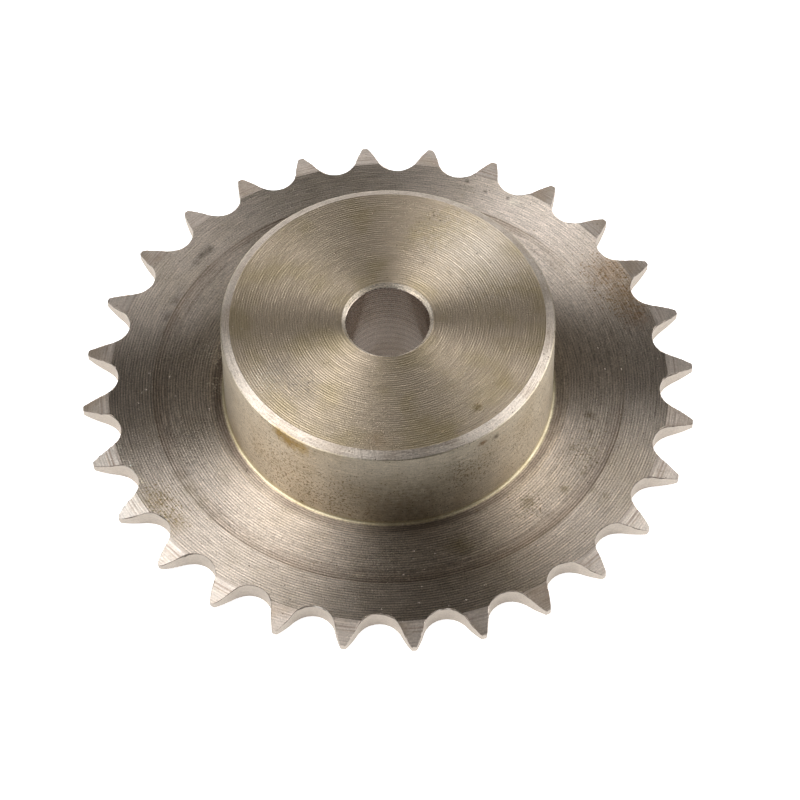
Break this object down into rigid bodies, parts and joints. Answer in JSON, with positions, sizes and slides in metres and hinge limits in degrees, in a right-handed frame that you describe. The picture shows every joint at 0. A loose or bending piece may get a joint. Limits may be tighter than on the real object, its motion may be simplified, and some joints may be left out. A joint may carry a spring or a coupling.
{
  "type": "chain sprocket",
  "caption": "Round steel plate sprocket with pointed teeth for a simplex roller chain, a one-sided turned hub and a plain pilot bore through both.",
  "frame": {"origin": "centre of the bore at the disc's back face", "axes": "+Z along the bore's axis, from the disc towards the hub's face; +X through the tip of one tooth"},
  "size_m": [0.0744, 0.0744, 0.0156],
  "materials": {
    "bare_steel": "bare turned steel with fine concentric tool marks, lightly oiled"
  },
  "bodies": {
    "root": {"sprocket": "bare_steel"}
  },
  "joints": []
}
